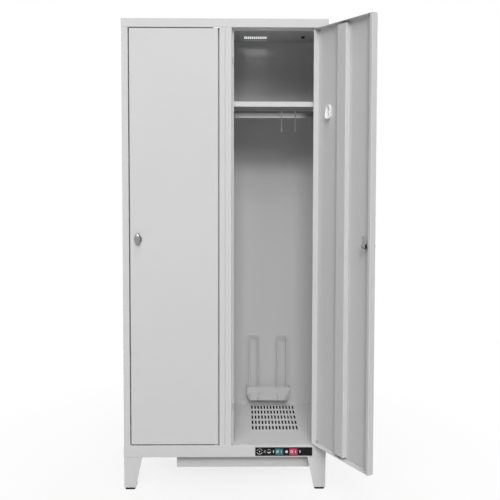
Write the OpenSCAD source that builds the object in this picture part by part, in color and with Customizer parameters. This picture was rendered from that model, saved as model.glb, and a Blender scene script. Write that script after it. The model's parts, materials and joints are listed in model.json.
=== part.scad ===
// Two-compartment drying cabinet for work clothes and boots: a folded sheet-steel
// body on four tapered legs, two hinged doors, and a heater and fan box underneath.
// Millimetres. The origin is on the floor under the middle of the body, +Z is up and
// the doors face -Y. The right-hand door stands open.

/* [Body] */
// Width over both compartments
cabinet_w = 800; // [700:10:960]
// Depth of the body, doors shut
cabinet_d = 500; // [480:10:600]
// Height from the floor to the roof
cabinet_h = 1850; // [1800:10:2000]
// Sheet that the body and the doors are folded from
sheet = 1; // [0.8:0.1:1.4]
// Face of the post on the latch side of each door
latch_post_w = 26; // [22:1:34]
// Face of the post on the hinge side of each door
hinge_post_w = 22; // [20:1:30]
// Height of the rail under the doors
base_rail_h = 47; // [44:1:56]
// Height of the rail over the doors
top_rail_h = 34; // [28:1:44]
// Width of the lip that a shut door stops against
stop_lip = 8; // [6:1:12]
// Flange that is turned in along the back of each wall
rear_flange = 15; // [10:1:20]

/* [Legs] */
// Height of a leg between its glide and the body
leg_h = 122; // [100:2:140]
// Width of a leg where it meets the body
leg_top_w = 71; // [60:1:80]
// Width of a leg at its foot
leg_foot_w = 46; // [44:1:54]
// Steel that the legs are pressed from
leg_sheet = 2; // [1.5:0.5:3]
// Diameter of a plastic glide
glide_d = 40; // [34:1:42]
// Height of a glide
glide_h = 9; // [7:1:14]

/* [Doors] */
// Depth of a door's folded edge
door_t = 24; // [20:1:28]
// Gap beside a door
door_gap = 4.5; // [4:0.5:6]
// Gap under a door
door_foot_gap = 6; // [5:0.5:8]
// Gap over a door
door_head_gap = 4; // [4:0.5:6]
// Space between a shut door and its stop lip
door_seat = 3; // [2.5:0.5:4]
// Lip that is turned in along a door's free edge
door_lip = 14; // [10:1:18]
// Angle at which the right-hand door stands open
door_open = 120; // [0:1:124]
// Distance of the pivot pins behind a door's face
pivot_inset = 4; // [4:0.25:5]
// Distance of the pivot pins from a door's hinged edge
pivot_edge = 9; // [8:0.5:10]
// Diameter of the pivot pins
pivot_d = 5; // [4:0.5:5]
// Width of the stiffener down the middle of a door
stiffener_w = 52; // [40:2:60]
// Height of the stiffener off the door's skin
stiffener_t = 19; // [14:1:20]
// Distance of the stiffener's middle from the hinged edge
stiffener_x = 167; // [150:1:180]
// Space between the stiffener's ends and the door's folded edges
stiffener_gap = 8; // [6:1:20]

/* [Latches] */
// Distance of a latch from the door's free edge
latch_inset = 31; // [30:1:40]
// Diameter of the rose behind the knob
rose_d = 31; // [28:1:36]
// Length of the knob's grip
grip_l = 42; // [36:1:52]
// Width of the knob's grip
grip_w = 15; // [12:1:18]
// How far the knob stands off the door
knob_reach = 21; // [19:1:30]
// Diameter of the spindle
spindle_d = 10; // [8:1:12]
// Distance from the spindle to the tip of the cam
cam_l = 38; // [36:1:52]
// Width of the cam
cam_w = 12; // [11:1:20]

/* [Compartments] */
// Height of the shelf's top
shelf_z = 1535; // [1450:5:1600]
// Height of the shelf's front lip
shelf_lip = 20; // [15:1:25]
// Drop from the shelf's top to the middle of the hanging rail
rail_drop = 35; // [32:1:60]
// Height of the hanging rail's oval tube
rail_h = 30; // [26:1:32]
// Thickness of the hanging rail's oval tube
rail_t = 15; // [12:1:16]
// Wire of the hooks on the hanging rail
hook_wire = 4; // [3:0.5:4.5]
// Reach of a hook under the middle of the rail
hook_drop = 70; // [60:1:85]
// Distance of the first hook from the latch side of its compartment
hook_x = 233; // [150:1:280]
// Distance between the two hooks
hook_pitch = 57; // [40:1:70]
// Width of a coat hook's plate
coat_w = 30; // [26:1:36]
// Height of a coat hook's plate
coat_h = 56; // [48:1:64]
// How far a coat hook stands off the door's skin
coat_reach = 14; // [12:1:22]
// Distance of a coat hook from the hinged edge
coat_x = 71; // [60:1:90]
// Height of a coat hook above the floor
coat_z = 1489; // [1400:1:1495]

/* [Boot racks] */
// Wire of the boot loops
loop_wire = 6; // [5:0.5:8]
// Width of a boot loop
loop_w = 42; // [36:2:60]
// Height of a loop's top above the floor
loop_top_z = 519; // [440:1:560]
// Distance between the middles of a rack's two loops
loop_pitch = 127; // [110:1:136]
// Width of a rack's bracket
rack_w = 194; // [186:1:210]
// Height of a rack's bracket
rack_h = 60; // [50:1:70]
// Height of the bracket's lower edge above the floor
rack_z = 211; // [200:1:230]
// Distance of the bracket's face from the back wall
rack_reach = 48; // [40:1:70]
// Distance of a rack's middle to the right of its compartment's middle
rack_offset = -14; // [-20:1:0]

/* [Warm air] */
// Width of a slot in the compartment floor
slot_w = 7; // [5:0.5:8]
// Length of a slot in the compartment floor
slot_l = 44; // [36:2:50]
// Distance between slots across the floor
slot_pitch = 14.3; // [13:0.1:15]
// Distance between rows of slots
row_pitch = 64; // [58:1:66]
// Number of slots in a row
slots_across = 14; // [8:1:16]
// Number of rows
slot_rows = 5; // [3:1:5]
// Distance of the grille's middle to the right of its compartment's middle
grille_offset = 6; // [0:1:10]
// Distance of the grille's middle from the front
grille_y = 320; // [300:5:330]
// Height of the heater and fan box under the body
fan_box_h = 60; // [52:1:70]
// Left end of the fan box, from the middle of the cabinet
fan_box_x0 = -195; // [-220:5:-180]
// Right end of the fan box, from the middle of the cabinet
fan_box_x1 = 338; // [320:1:350]
// Distance of the fan box from the front
fan_box_y = 50; // [40:2:70]
// Depth of the fan box, front to back
fan_box_d = 360; // [320:10:380]
// Side of a fan's square frame
fan_w = 120; // [100:2:124]
// Depth of a fan's frame
fan_h = 25; // [20:1:30]
// Number of fan blades
fan_blades = 7; // [5:1:9]
// Distance of the left-hand fan from the middle of the cabinet
left_fan_x = -110; // [-120:5:-90]
// Tube of the heating elements
heater_tube = 8.5; // [8:0.5:10]
// Diameter of the heating elements' fins
fin_d = 26; // [20:1:30]
// Distance between fins
fin_pitch = 9; // [6:1:12]
// Length of the finned stretches
heater_l = 126; // [100:2:140]
// Width of a roof slot
roof_slot_w = 4.5; // [4:0.5:6]
// Length of a roof slot
roof_slot_l = 63; // [50:1:70]
// Distance between roof slots
roof_slot_pitch = 8.4; // [8:0.1:10]
// Number of roof slots over each compartment
roof_slots = 12; // [6:1:12]

/* [Controls] */
// Width of the control strip
strip_w = 226; // [210:2:240]
// Height of the control strip
strip_h = 33; // [30:1:36]
// Thickness of the control strip
strip_t = 2.5; // [2:0.5:4]
// Right-hand end of the strip, from the middle of the cabinet
strip_x1 = 346; // [330:1:350]
// Width of a rocker switch
rocker_w = 31; // [28:1:33]
// Height of a rocker switch
rocker_h = 25; // [22:1:27]
// Angle that a rocker tips through
rocker_tip = 12; // [8:1:14]
// Distance of the green rocker from the strip's left-hand end
green_x = 96; // [88:1:100]
// Distance between the two rockers
rocker_pitch = 56; // [50:1:60]
// Diameter of the indicator lamp
lamp_d = 11; // [8:1:12]

/* [Hidden] */

LEFT = 0;
RIGHT = 1;
round_fn = 48;
wire_fn = 24;
// shared clearances
fit = 0.5;         // a loose sheet beside the wall that holds it
running = 0.05;    // radial, a turning pin in its hole
wire_gap = 0.4;    // a hook over its rail

// heights
base_z = glide_h + leg_h;
base_rail_z = base_z + base_rail_h;
roof_rail_z = cabinet_h - top_rail_h;
door_z = base_rail_z + door_foot_gap;
door_h = roof_rail_z - door_head_gap - door_z;
// planes, front to back
front_y = -cabinet_d / 2;
back_y = cabinet_d / 2;
wall_front_y = front_y + sheet;
wall_back_y = back_y - 2 * sheet;
rabbet = door_t + door_seat;
seat_y = front_y + rabbet;
// each compartment is measured from its latch side, its left-hand boundary
bay_w = cabinet_w / 2;
grille_x = bay_w / 2 + grille_offset;
door_w = bay_w - latch_post_w - hinge_post_w - 2 * door_gap;
hinge_x = bay_w - hinge_post_w - door_gap;
bend_r = 1.5 * sheet;
bend_steps = 3;
corner = bend_r - sheet / 2;   // inside radius of a bend

function bay_x(side) = side == LEFT ? -bay_w : 0;
// the roof and the base wrap round the outer walls; the partitions meet in the middle
function bay_in0(side) = side == LEFT ? 2 * sheet : sheet;
function bay_in1(side) = side == LEFT ? bay_w - sheet : bay_w - 2 * sheet;

// ---- folded sheet -------------------------------------------------------------
function unit(v) = v / norm(v);
function left_of(v) = [-v[1], v[0]];
function turned(v, a) = [v[0] * cos(a) - v[1] * sin(a), v[0] * sin(a) + v[1] * cos(a)];
function turn_angle(a, b) = atan2(a[0] * b[1] - a[1] * b[0], a * b);

// one bend: points on the middle of the sheet with their normals, along an arc
function bend(p, v, q) =
    let(a = unit(v - p),
        t = turn_angle(a, unit(q - v)),
        way = sign(t),
        n = left_of(a),
        start = v - a * bend_r * tan(abs(t) / 2),
        centre = start + n * bend_r * way)
    [for (k = [0:bend_steps])
        let(m = turned(n, t * k / bend_steps))
        [centre - m * bend_r * way, m]];

function strip_line(path) =
    let(last = len(path) - 1)
    concat([[path[0], left_of(unit(path[1] - path[0]))]],
           [for (i = [1:last - 1]) each bend(path[i - 1], path[i], path[i + 1])],
           [[path[last], left_of(unit(path[last] - path[last - 1]))]]);

// outline of a sheet folded along a path of three or more points
module folded(path, t = sheet) {
    line = strip_line(path);
    polygon(concat([for (s = line) s[0] + s[1] * t / 2],
                   [for (i = [len(line) - 1:-1:0]) line[i][0] - line[i][1] * t / 2]));
}

// a folded outline drawn in (y, z) and run along x from x0 to x1
module along_x(x0, x1) {
    translate([x0, 0, 0]) rotate([90, 0, 90]) linear_extrude(x1 - x0) children();
}

// a folded outline drawn in (x, z) and run along y from y0 to y1
module along_y(y0, y1) {
    translate([0, y1, 0]) rotate([90, 0, 0]) linear_extrude(y1 - y0) children();
}

module slot_2d(w, l) {
    square([w, l - w], center = true);
    for (s = [-1, 1]) translate([0, s * (l - w) / 2]) circle(d = w, $fn = 16);
}

// a rectangle with round corners, lower left corner at the origin
module plate_2d(w, h, r) {
    translate([r, 0]) square([w - 2 * r, h]);
    translate([0, r]) square([w, h - 2 * r]);
    for (x = [r, w - r], y = [r, h - r]) translate([x, y]) circle(r, $fn = wire_fn);
}

// ---- body ---------------------------------------------------------------------
// Wall sheet in plan, its outer face at x = outer, inside towards +x: rear flange,
// wall, post face, return and stop lip
module wall_plan(outer, post_w) {
    folded([[outer + rear_flange, wall_back_y - sheet / 2],
            [outer + sheet / 2, wall_back_y - sheet / 2],
            [outer + sheet / 2, wall_front_y + sheet / 2],
            [post_w - sheet / 2, wall_front_y + sheet / 2],
            [post_w - sheet / 2, seat_y + sheet / 2],
            [post_w + stop_lip, seat_y + sheet / 2]]);
}

module wall_up() {
    translate([0, 0, base_z + sheet + corner])
        linear_extrude(cabinet_h - base_z - 2 * (sheet + corner)) children();
}

module side_left() color("gainsboro")
    wall_up() translate([-cabinet_w / 2, 0]) wall_plan(sheet, latch_post_w);

module side_right() color("gainsboro")
    wall_up() translate([cabinet_w / 2, 0]) mirror([1, 0]) wall_plan(sheet, hinge_post_w);

module partition_left() color("gainsboro")
    wall_up() mirror([1, 0]) wall_plan(0, hinge_post_w);

module partition_right() color("gainsboro")
    wall_up() wall_plan(0, latch_post_w);

// posts and their lips stand through the returns of the front rails, from z down to z - h
module post_notches(z, h) {
    for (side = [LEFT, RIGHT], k = [[0, latch_post_w], [1, hinge_post_w]])
        translate([bay_x(side) + k[0] * bay_w, 0, z - h]) mirror([k[0], 0, 0]) {
            translate([-fit, wall_front_y, 0]) cube([k[1] + 2 * fit, rabbet + sheet, h]);
            translate([-fit, seat_y - fit / 2, 0]) cube([k[1] + stop_lip + 2 * fit, 3 * sheet, h]);
        }
}

wall_hole_d = 9;
wall_hole_inset = 35;   // from each side of the cabinet
wall_hole_drop = 70;
module back_wall() color("gainsboro")
    difference() {
        translate([-cabinet_w / 2 + sheet, back_y - 2 * sheet, base_z + sheet + corner])
            cube([cabinet_w - 2 * sheet, sheet, cabinet_h - base_z - 2 * (sheet + corner)]);
        for (s = [-1, 1])
            translate([s * (cabinet_w / 2 - wall_hole_inset), back_y, cabinet_h - wall_hole_drop])
                rotate([90, 0, 0]) cylinder(d = wall_hole_d, h = 4 * sheet, $fn = round_fn);
    }

// base: a tray with the front rail folded up and back over the floor's front edge
base_side_h = 30;
module fan_opening(x) {
    translate([x, fan_y, base_z - 1]) cylinder(d = fan_w - 10, h = sheet + 2, $fn = round_fn);
}

module base_pan() color("gainsboro")
    difference() {
        union() {
            along_x(-cabinet_w / 2, cabinet_w / 2)
                folded([[seat_y - 0.2, base_rail_z - sheet / 2],
                        [front_y + sheet / 2, base_rail_z - sheet / 2],
                        [front_y + sheet / 2, base_z + sheet / 2],
                        [back_y - sheet / 2, base_z + sheet / 2],
                        [back_y - sheet / 2, base_z + base_side_h]]);
            for (s = [0, 1]) mirror([s, 0, 0])
                along_y(front_y + sheet, back_y - sheet)
                    folded([[cabinet_w / 2 - sheet / 2, base_z + base_side_h],
                            [cabinet_w / 2 - sheet / 2, base_z + sheet / 2],
                            [cabinet_w / 2 - 20, base_z + sheet / 2]]);
            // the rail's ends are closed
            for (s = [0, 1]) mirror([s, 0, 0])
                translate([cabinet_w / 2 - sheet, front_y + sheet / 2, base_z + sheet])
                    cube([sheet, rabbet, base_rail_h - 2 * sheet]);
        }
        post_notches(base_rail_z + sheet, 4 * sheet);
        for (side = [LEFT, RIGHT]) fan_opening(fan_x(side));
        rocker_windows();
    }

// roof: a shallow lid, its front rail turned back behind the doors and down
module roof() color("gainsboro")
    difference() {
        union() {
            along_x(-cabinet_w / 2, cabinet_w / 2)
                folded([[seat_y + sheet / 2, roof_rail_z - stop_lip],
                        [seat_y + sheet / 2, roof_rail_z + sheet / 2],
                        [front_y + sheet / 2, roof_rail_z + sheet / 2],
                        [front_y + sheet / 2, cabinet_h - sheet / 2],
                        [back_y - sheet / 2, cabinet_h - sheet / 2],
                        [back_y - sheet / 2, roof_rail_z]]);
            for (s = [0, 1]) mirror([s, 0, 0])
                along_y(front_y + sheet, back_y - sheet)
                    folded([[cabinet_w / 2 - sheet / 2, roof_rail_z],
                            [cabinet_w / 2 - sheet / 2, cabinet_h - sheet / 2],
                            [cabinet_w / 2 - 20, cabinet_h - sheet / 2]]);
        }
        post_notches(roof_rail_z + 3 * sheet, 2 * stop_lip);
        for (side = [LEFT, RIGHT]) translate([bay_x(side), 0, 0]) roof_slots_cut();
    }

vent_x0 = 52;
vent_w = 133;
vent_y0 = 207;
vent_d = 251;
vent_t = 5;
vent_slot_x = 78;
vent_slot_y = 398;
vent_margin = 4;    // tray's window round the slots
vent_sight = 30;    // the window reaches forward, so the slots are in sight from the door
module roof_slots_cut() {
    for (i = [0:roof_slots - 1])
        translate([vent_slot_x + i * roof_slot_pitch, front_y + vent_slot_y, cabinet_h - 2 * sheet])
            linear_extrude(3 * sheet) slot_2d(roof_slot_w, roof_slot_l);
}

// frame of the roof vent, a shallow folded tray under the slots
module vent_frame(side) color("silver")
    translate([bay_x(side) + vent_x0, front_y + vent_y0, cabinet_h - sheet - vent_t])
        difference() {
            cube([vent_w, vent_d, vent_t]);
            translate([sheet, sheet, sheet]) cube([vent_w - 2 * sheet, vent_d - 2 * sheet, vent_t]);
            translate([vent_slot_x - vent_x0 - roof_slot_w / 2 - vent_margin,
                       vent_slot_y - vent_y0 - roof_slot_l / 2 - vent_sight, -1])
                cube([(roof_slots - 1) * roof_slot_pitch + roof_slot_w + 2 * vent_margin,
                      roof_slot_l + vent_sight + vent_margin, vent_t]);
        }
module vent_frame_left() vent_frame(LEFT);
module vent_frame_right() vent_frame(RIGHT);

// button-shaped thermostat with a mounting flange, under the roof
sensor_x = 331;
sensor_y = 361;
sensor_d = 15;
sensor_h = 11;
module overheat_sensors() color("dimgray")
    for (side = [LEFT, RIGHT])
        translate([bay_x(side) + sensor_x, front_y + sensor_y, cabinet_h - sheet]) mirror([0, 0, 1]) {
            cylinder(d = sensor_d + 6, h = 2, $fn = round_fn);
            cylinder(d = sensor_d, h = sensor_h, $fn = round_fn);
            for (s = [-1, 1]) translate([s * sensor_d / 4 - 3, -0.4, 0]) cube([6, 0.8, sensor_h + 7]);
        }

// compartment floor: perforated sheet, notched round the posts
floor_setback = 10;
module floor_sheet(side) color("gainsboro")
    translate([bay_x(side), 0, base_rail_z]) linear_extrude(sheet) difference() {
        union() {
            translate([latch_post_w + stop_lip + fit, front_y + floor_setback])
                square([bay_w - latch_post_w - hinge_post_w - 2 * stop_lip - 2 * fit, rabbet]);
            translate([bay_in0(side) + fit, seat_y + 2 * sheet])
                square([bay_in1(side) - bay_in0(side) - 2 * fit, wall_back_y - seat_y - 2 * sheet]);
        }
        for (i = [0:slots_across - 1], j = [0:slot_rows - 1])
            translate([grille_x + (i - (slots_across - 1) / 2) * slot_pitch,
                       front_y + grille_y + (j - (slot_rows - 1) / 2) * row_pitch])
                slot_2d(slot_w, slot_l);
        // the walls' rear flanges
        for (x = [0, bay_w - rear_flange - 2 * sheet])
            translate([x, wall_back_y - sheet - fit]) square([rear_flange + 2 * sheet, 10]);
    }
module floor_left() floor_sheet(LEFT);
module floor_right() floor_sheet(RIGHT);

// ---- shelf, hanging rail and hooks ----------------------------------------------
shelf_y0 = seat_y + 3 * sheet;
shelf_return = 12;   // under the lip
module shelf(side) color("gainsboro")
    translate([bay_x(side), 0, 0])
        along_x(bay_in0(side) + fit, bay_in1(side) - fit)
            folded([[shelf_y0 + shelf_return, shelf_z - shelf_lip + sheet / 2],
                    [shelf_y0 + sheet / 2, shelf_z - shelf_lip + sheet / 2],
                    [shelf_y0 + sheet / 2, shelf_z - sheet / 2],
                    [wall_back_y - sheet - fit - sheet / 2, shelf_z - sheet / 2],
                    [wall_back_y - sheet - fit - sheet / 2, shelf_z - shelf_lip]]);
module shelf_left() shelf(LEFT);
module shelf_right() shelf(RIGHT);

bracket_l = 40;
bracket_leg = 15;
bracket_t = 1.5;
bracket_front = 60;   // behind the stop lips
bracket_back = 110;   // in front of the back
module shelf_brackets() color("silver")
    for (side = [LEFT, RIGHT], y = [seat_y + bracket_front, back_y - bracket_back], s = [0, 1])
        translate([bay_x(side) + (s == 0 ? bay_in0(side) : bay_in1(side)), y, shelf_z - sheet])
            mirror([s, 0, 0]) along_y(0, bracket_l)
                folded([[bracket_leg, -bracket_t / 2], [bracket_t / 2, -bracket_t / 2],
                        [bracket_t / 2, -bracket_leg]], bracket_t);

rail_z = shelf_z - rail_drop;
rail_wall = 1.2;
socket_flange = 2.5;
socket_depth = 12;
socket_rim = 2.5;
// an upright oval in the plane of what extrudes it
module oval(w, h) {
    square([w, h - w], center = true);
    for (s = [-1, 1]) translate([0, s * (h - w) / 2]) circle(d = w, $fn = round_fn);
}
module oval_ring(w, h, wall) {
    difference() {
        oval(w, h);
        oval(w - 2 * wall, h - 2 * wall);
    }
}
module hanging_rail(side) color("silver")
    translate([bay_x(side), 0, rail_z])
        along_x(bay_in0(side) + socket_flange, bay_in1(side) - socket_flange)
            oval_ring(rail_t, rail_h, rail_wall);
module hanging_rail_left() hanging_rail(LEFT);
module hanging_rail_right() hanging_rail(RIGHT);

// flanged cup that holds an end of the rail
module rail_socket() {
    socket_t = rail_t + 2 * socket_rim;
    socket_h = rail_h + 2 * socket_rim;
    along_x(0, socket_flange) oval(socket_t + 10, socket_h + 10);
    along_x(0, socket_depth) oval_ring(socket_t, socket_h, socket_rim - running);
}
module rail_sockets() color("silver")
    for (side = [LEFT, RIGHT]) translate([bay_x(side), 0, rail_z]) {
        translate([bay_in0(side), 0, 0]) rail_socket();
        translate([bay_in1(side), 0, 0]) mirror([1, 0, 0]) rail_socket();
    }

// wire round a circle of radius r in the plane of y and z, from angle a by sweep
module wire_arc(r, a, sweep) {
    rotate([90, 0, 90]) rotate([0, 0, a]) rotate_extrude(angle = sweep, $fn = round_fn)
        translate([r, 0]) circle(d = hook_wire, $fn = wire_fn);
}
module wire_to(p, q, d) {
    v = q - p;
    translate(p) rotate([0, acos(v[2] / norm(v)), atan2(v[1], v[0])])
        cylinder(d = d, h = norm(v), $fn = wire_fn);
}

// hook: a crook over the rail's round top, legs down both its flat sides, a joggle in
// under the rail, a straight shank and a turned-up end
hook_r = rail_t / 2 + wire_gap + hook_wire / 2;
hook_end_r = 8;
hook_end_sweep = 165;   // degrees
hook_back_leg = 18;
hook_knee = 2;          // both measured down from the rail
hook_neck = 14;
module rail_hook(side, i) color("silver")
    translate([bay_x(side) + hook_x + i * hook_pitch, 0, rail_z]) {
        crook_z = (rail_h - rail_t) / 2;
        knee = [0, -hook_r, -rail_h / 2 - hook_knee];
        neck = [0, 0, -rail_h / 2 - hook_neck];
        foot = [0, 0, -hook_drop + hook_end_r + hook_wire / 2];
        tail = [0, hook_r, crook_z - hook_back_leg];
        translate([0, 0, crook_z]) wire_arc(hook_r, 0, 180);
        wire_to(tail, [0, hook_r, crook_z], hook_wire);
        wire_to(knee, [0, -hook_r, crook_z], hook_wire);
        wire_to(neck, knee, hook_wire);
        wire_to(foot, neck, hook_wire);
        translate([0, -hook_end_r, foot[2]]) wire_arc(hook_end_r, 0, -hook_end_sweep);
        for (p = [tail, knee, neck]) translate(p) sphere(d = hook_wire + 0.05, $fn = wire_fn);
    }
module rail_hook_1() rail_hook(LEFT, 0);
module rail_hook_2() rail_hook(LEFT, 1);
module rail_hook_3() rail_hook(RIGHT, 0);
module rail_hook_4() rail_hook(RIGHT, 1);

// ---- boot racks -----------------------------------------------------------------
rack_t = 1.5;
rack_x = bay_w / 2 + rack_offset;
rack_y = wall_back_y - rack_reach;
rack_taper = 14;
rack_flange = 12;
wire_y = rack_y + rack_t + loop_wire / 2;
wire_pass_z = rack_z + rack_h / 2;
wire_end_z = rack_z + loop_wire / 2;
loop_bend = 12;
loop_draw = 8;    // how far the front legs are drawn in

function loop_xs() = [for (c = [-1, 1], s = [-1, 1]) c * loop_pitch / 2 + s * loop_w / 2];

// folded bracket, its lower corners cut away at a slant
module boot_bracket(side) color("whitesmoke")
    translate([bay_x(side) + rack_x, 0, 0]) difference() {
        translate([0, 0, rack_z]) linear_extrude(rack_h)
            folded([[-rack_w / 2 + rack_flange, wall_back_y - rack_t / 2],
                    [-rack_w / 2 + rack_t / 2, wall_back_y - rack_t / 2],
                    [-rack_w / 2 + rack_t / 2, rack_y + rack_t / 2],
                    [rack_w / 2 - rack_t / 2, rack_y + rack_t / 2],
                    [rack_w / 2 - rack_t / 2, wall_back_y - rack_t / 2],
                    [rack_w / 2 - rack_flange, wall_back_y - rack_t / 2]], rack_t);
        for (s = [0, 1]) mirror([s, 0, 0])
            translate([0, wall_back_y + 1, rack_z - 1]) rotate([90, 0, 0])
                linear_extrude(rack_reach + 2)
                    polygon([[rack_w / 2 - rack_taper, 0], [rack_w / 2 + 1, 0],
                             [rack_w / 2 + 1, rack_h * 0.6]]);
        for (x = loop_xs())
            translate([x, rack_y - 1, wire_pass_z]) rotate([-90, 0, 0])
                cylinder(d = loop_wire + 0.2, h = rack_t + 2, $fn = round_fn);
    }
module boot_bracket_left() boot_bracket(LEFT);
module boot_bracket_right() boot_bracket(RIGHT);

// one loop: up behind the bracket, and down in front of it with its legs drawn in
module boot_loop() {
    x = loop_w / 2;
    top = loop_top_z - loop_wire / 2;
    out_y = rack_y - loop_wire / 2 - 0.5;
    for (s = [0, 1]) mirror([s, 0, 0]) {
        wire_to([x, wire_y, wire_pass_z], [x, wire_y, top - loop_bend], loop_wire);
        translate([x - loop_bend, wire_y, top - loop_bend]) rotate([90, 0, 0])
            rotate_extrude(angle = 90, $fn = round_fn)
                translate([loop_bend, 0]) circle(d = loop_wire, $fn = wire_fn);
        wire_to([0, wire_y, top], [x - loop_bend, wire_y, top], loop_wire);
        wire_to([x, out_y, wire_pass_z], [x, wire_y, wire_pass_z], loop_wire);
        wire_to([x, out_y, wire_pass_z], [x - loop_draw, out_y, wire_end_z], loop_wire);
        for (p = [[x, wire_y, wire_pass_z], [x, out_y, wire_pass_z], [x - loop_draw, out_y, wire_end_z]])
            translate(p) sphere(d = loop_wire + 0.05, $fn = wire_fn);
    }
}
module boot_loops(side) color("silver")
    for (c = [-1, 1]) translate([bay_x(side) + rack_x + c * loop_pitch / 2, 0, 0]) boot_loop();
module boot_loops_left() boot_loops(LEFT);
module boot_loops_right() boot_loops(RIGHT);

// ---- legs -----------------------------------------------------------------------
leg_inset = 1;
glide_at = leg_inset + leg_foot_w / 2;
module leg_face() {
    linear_extrude(leg_sheet)
        polygon([[0, 0], [leg_foot_w, 0], [leg_top_w, leg_h - 4], [leg_top_w, leg_h], [4, leg_h],
                 [0, leg_h - 4]]);
}

// pressed corner leg: two tapered faces, a foot plate and a fixing flange
module leg() {
    rotate([90, 0, 0]) mirror([0, 0, 1]) leg_face();
    rotate([90, 0, 90]) leg_face();
    difference() {
        cube([leg_foot_w, leg_foot_w, leg_sheet]);
        translate([leg_foot_w / 2, leg_foot_w / 2, -1])
            cylinder(d = glide_stem_d + 0.2, h = leg_sheet + 2, $fn = round_fn);
    }
    translate([0, 0, leg_h - leg_sheet]) linear_extrude(leg_sheet)
        polygon([[4, 0], [leg_top_w, 0], [leg_top_w, leg_top_w / 3], [leg_top_w / 3, leg_top_w],
                 [0, leg_top_w], [0, 4]]);
}
module leg_at(sx, sy) color("gainsboro")
    mirror([sx, 0, 0]) mirror([0, sy, 0])
        translate([-cabinet_w / 2 + leg_inset, front_y + leg_inset, glide_h]) leg();
module leg_front_left() leg_at(0, 0);
module leg_front_right() leg_at(1, 0);
module leg_back_left() leg_at(0, 1);
module leg_back_right() leg_at(1, 1);

glide_stem_d = 8;
module glides() color("#1a1a1a")
    for (sx = [-1, 1], sy = [-1, 1])
        translate([sx * (cabinet_w / 2 - glide_at), sy * (cabinet_d / 2 - glide_at), 0]) {
            cylinder(d = glide_d, h = glide_h, $fn = round_fn);
            cylinder(d = glide_stem_d, h = glide_h + leg_sheet + 12, $fn = round_fn);
            translate([0, 0, glide_h + leg_sheet])
                cylinder(d = 14, h = 6, $fn = 6);
        }

// ---- doors ----------------------------------------------------------------------
// A door is drawn shut: hinged edge at x = 0, running to -x, outer face at y = 0,
// lower edge at z = 0
module hang(side) {
    angle = side == RIGHT ? door_open : 0;
    translate([bay_x(side) + hinge_x, front_y, door_z])
        translate([-pivot_edge, pivot_inset, 0]) rotate([0, 0, angle])
            translate([pivot_edge, -pivot_inset, 0]) children();
}

latch_z = door_h / 2;
barrel_d = spindle_d + 8;
module door_pan(side) color("gainsboro")
    hang(side) difference() {
        union() {
            linear_extrude(door_h)
                folded([[-door_w + door_lip, door_t - sheet / 2],
                        [-door_w + sheet / 2, door_t - sheet / 2],
                        [-door_w + sheet / 2, sheet / 2],
                        [-sheet / 2, sheet / 2],
                        [-sheet / 2, door_t]]);
            for (z = [0, door_h - sheet])
                translate([-door_w + sheet, sheet / 2, z])
                    cube([door_w - 2 * sheet, door_t - sheet / 2, sheet]);
        }
        translate([-pivot_edge, pivot_inset, -1])
            cylinder(d = pivot_d + 2 * running, h = door_h + 2, $fn = round_fn);
        translate([-door_w + latch_inset, -1, latch_z]) rotate([-90, 0, 0])
            cylinder(d = barrel_d + 0.4, h = sheet + 2, $fn = round_fn);
    }
module door_left() door_pan(LEFT);
module door_right() door_pan(RIGHT);

// hat-section stiffener, spot welded to the skin
hat_flange = 10;
module stiffener(side) color("gainsboro")
    hang(side) translate([-stiffener_x, sheet, sheet + stiffener_gap])
        linear_extrude(door_h - 2 * sheet - 2 * stiffener_gap)
            folded([[-stiffener_w / 2 - hat_flange, sheet / 2],
                    [-stiffener_w / 2 + sheet / 2, sheet / 2],
                    [-stiffener_w / 2 + sheet / 2, stiffener_t - sheet / 2],
                    [stiffener_w / 2 - sheet / 2, stiffener_t - sheet / 2],
                    [stiffener_w / 2 - sheet / 2, sheet / 2],
                    [stiffener_w / 2 + hat_flange, sheet / 2]]);
module stiffener_left() stiffener(LEFT);
module stiffener_right() stiffener(RIGHT);

// moulded coat hook: oval plate with a raised rim and a lip that turns up
coat_plate = 4;
coat_rim = 4;
module coat_hook(side) color("white")
    hang(side) translate([-coat_x, sheet, coat_z - door_z]) rotate([-90, 0, 0]) mirror([0, 1, 0]) {
        difference() {
            linear_extrude(coat_plate + coat_rim) oval(coat_w, coat_h);
            translate([0, 0, coat_plate])
                linear_extrude(coat_rim + 1) oval(coat_w - 2 * coat_rim, coat_h - 2 * coat_rim);
            for (s = [-1, 1]) translate([0, s * coat_h / 5, -1])
                cylinder(d = 4.5, h = coat_plate + 2, $fn = round_fn);
        }
        // the lip: a crescent round the lower end, standing out
        intersection() {
            difference() {
                linear_extrude(coat_reach) oval(coat_w, coat_h);
                translate([0, 5, coat_plate]) linear_extrude(coat_reach)
                    oval(coat_w - 2 * coat_rim, coat_h - 2 * coat_rim);
            }
            translate([-coat_w / 2, -coat_h / 2, 0]) rotate([90, 0, 90]) linear_extrude(coat_w)
                polygon([[0, 0], [coat_w * 0.8, 0], [coat_w * 0.8, coat_plate + coat_rim],
                         [coat_w * 0.35, coat_reach], [0, coat_reach]]);
        }
    }
module coat_hook_left() coat_hook(LEFT);
module coat_hook_right() coat_hook(RIGHT);

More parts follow.
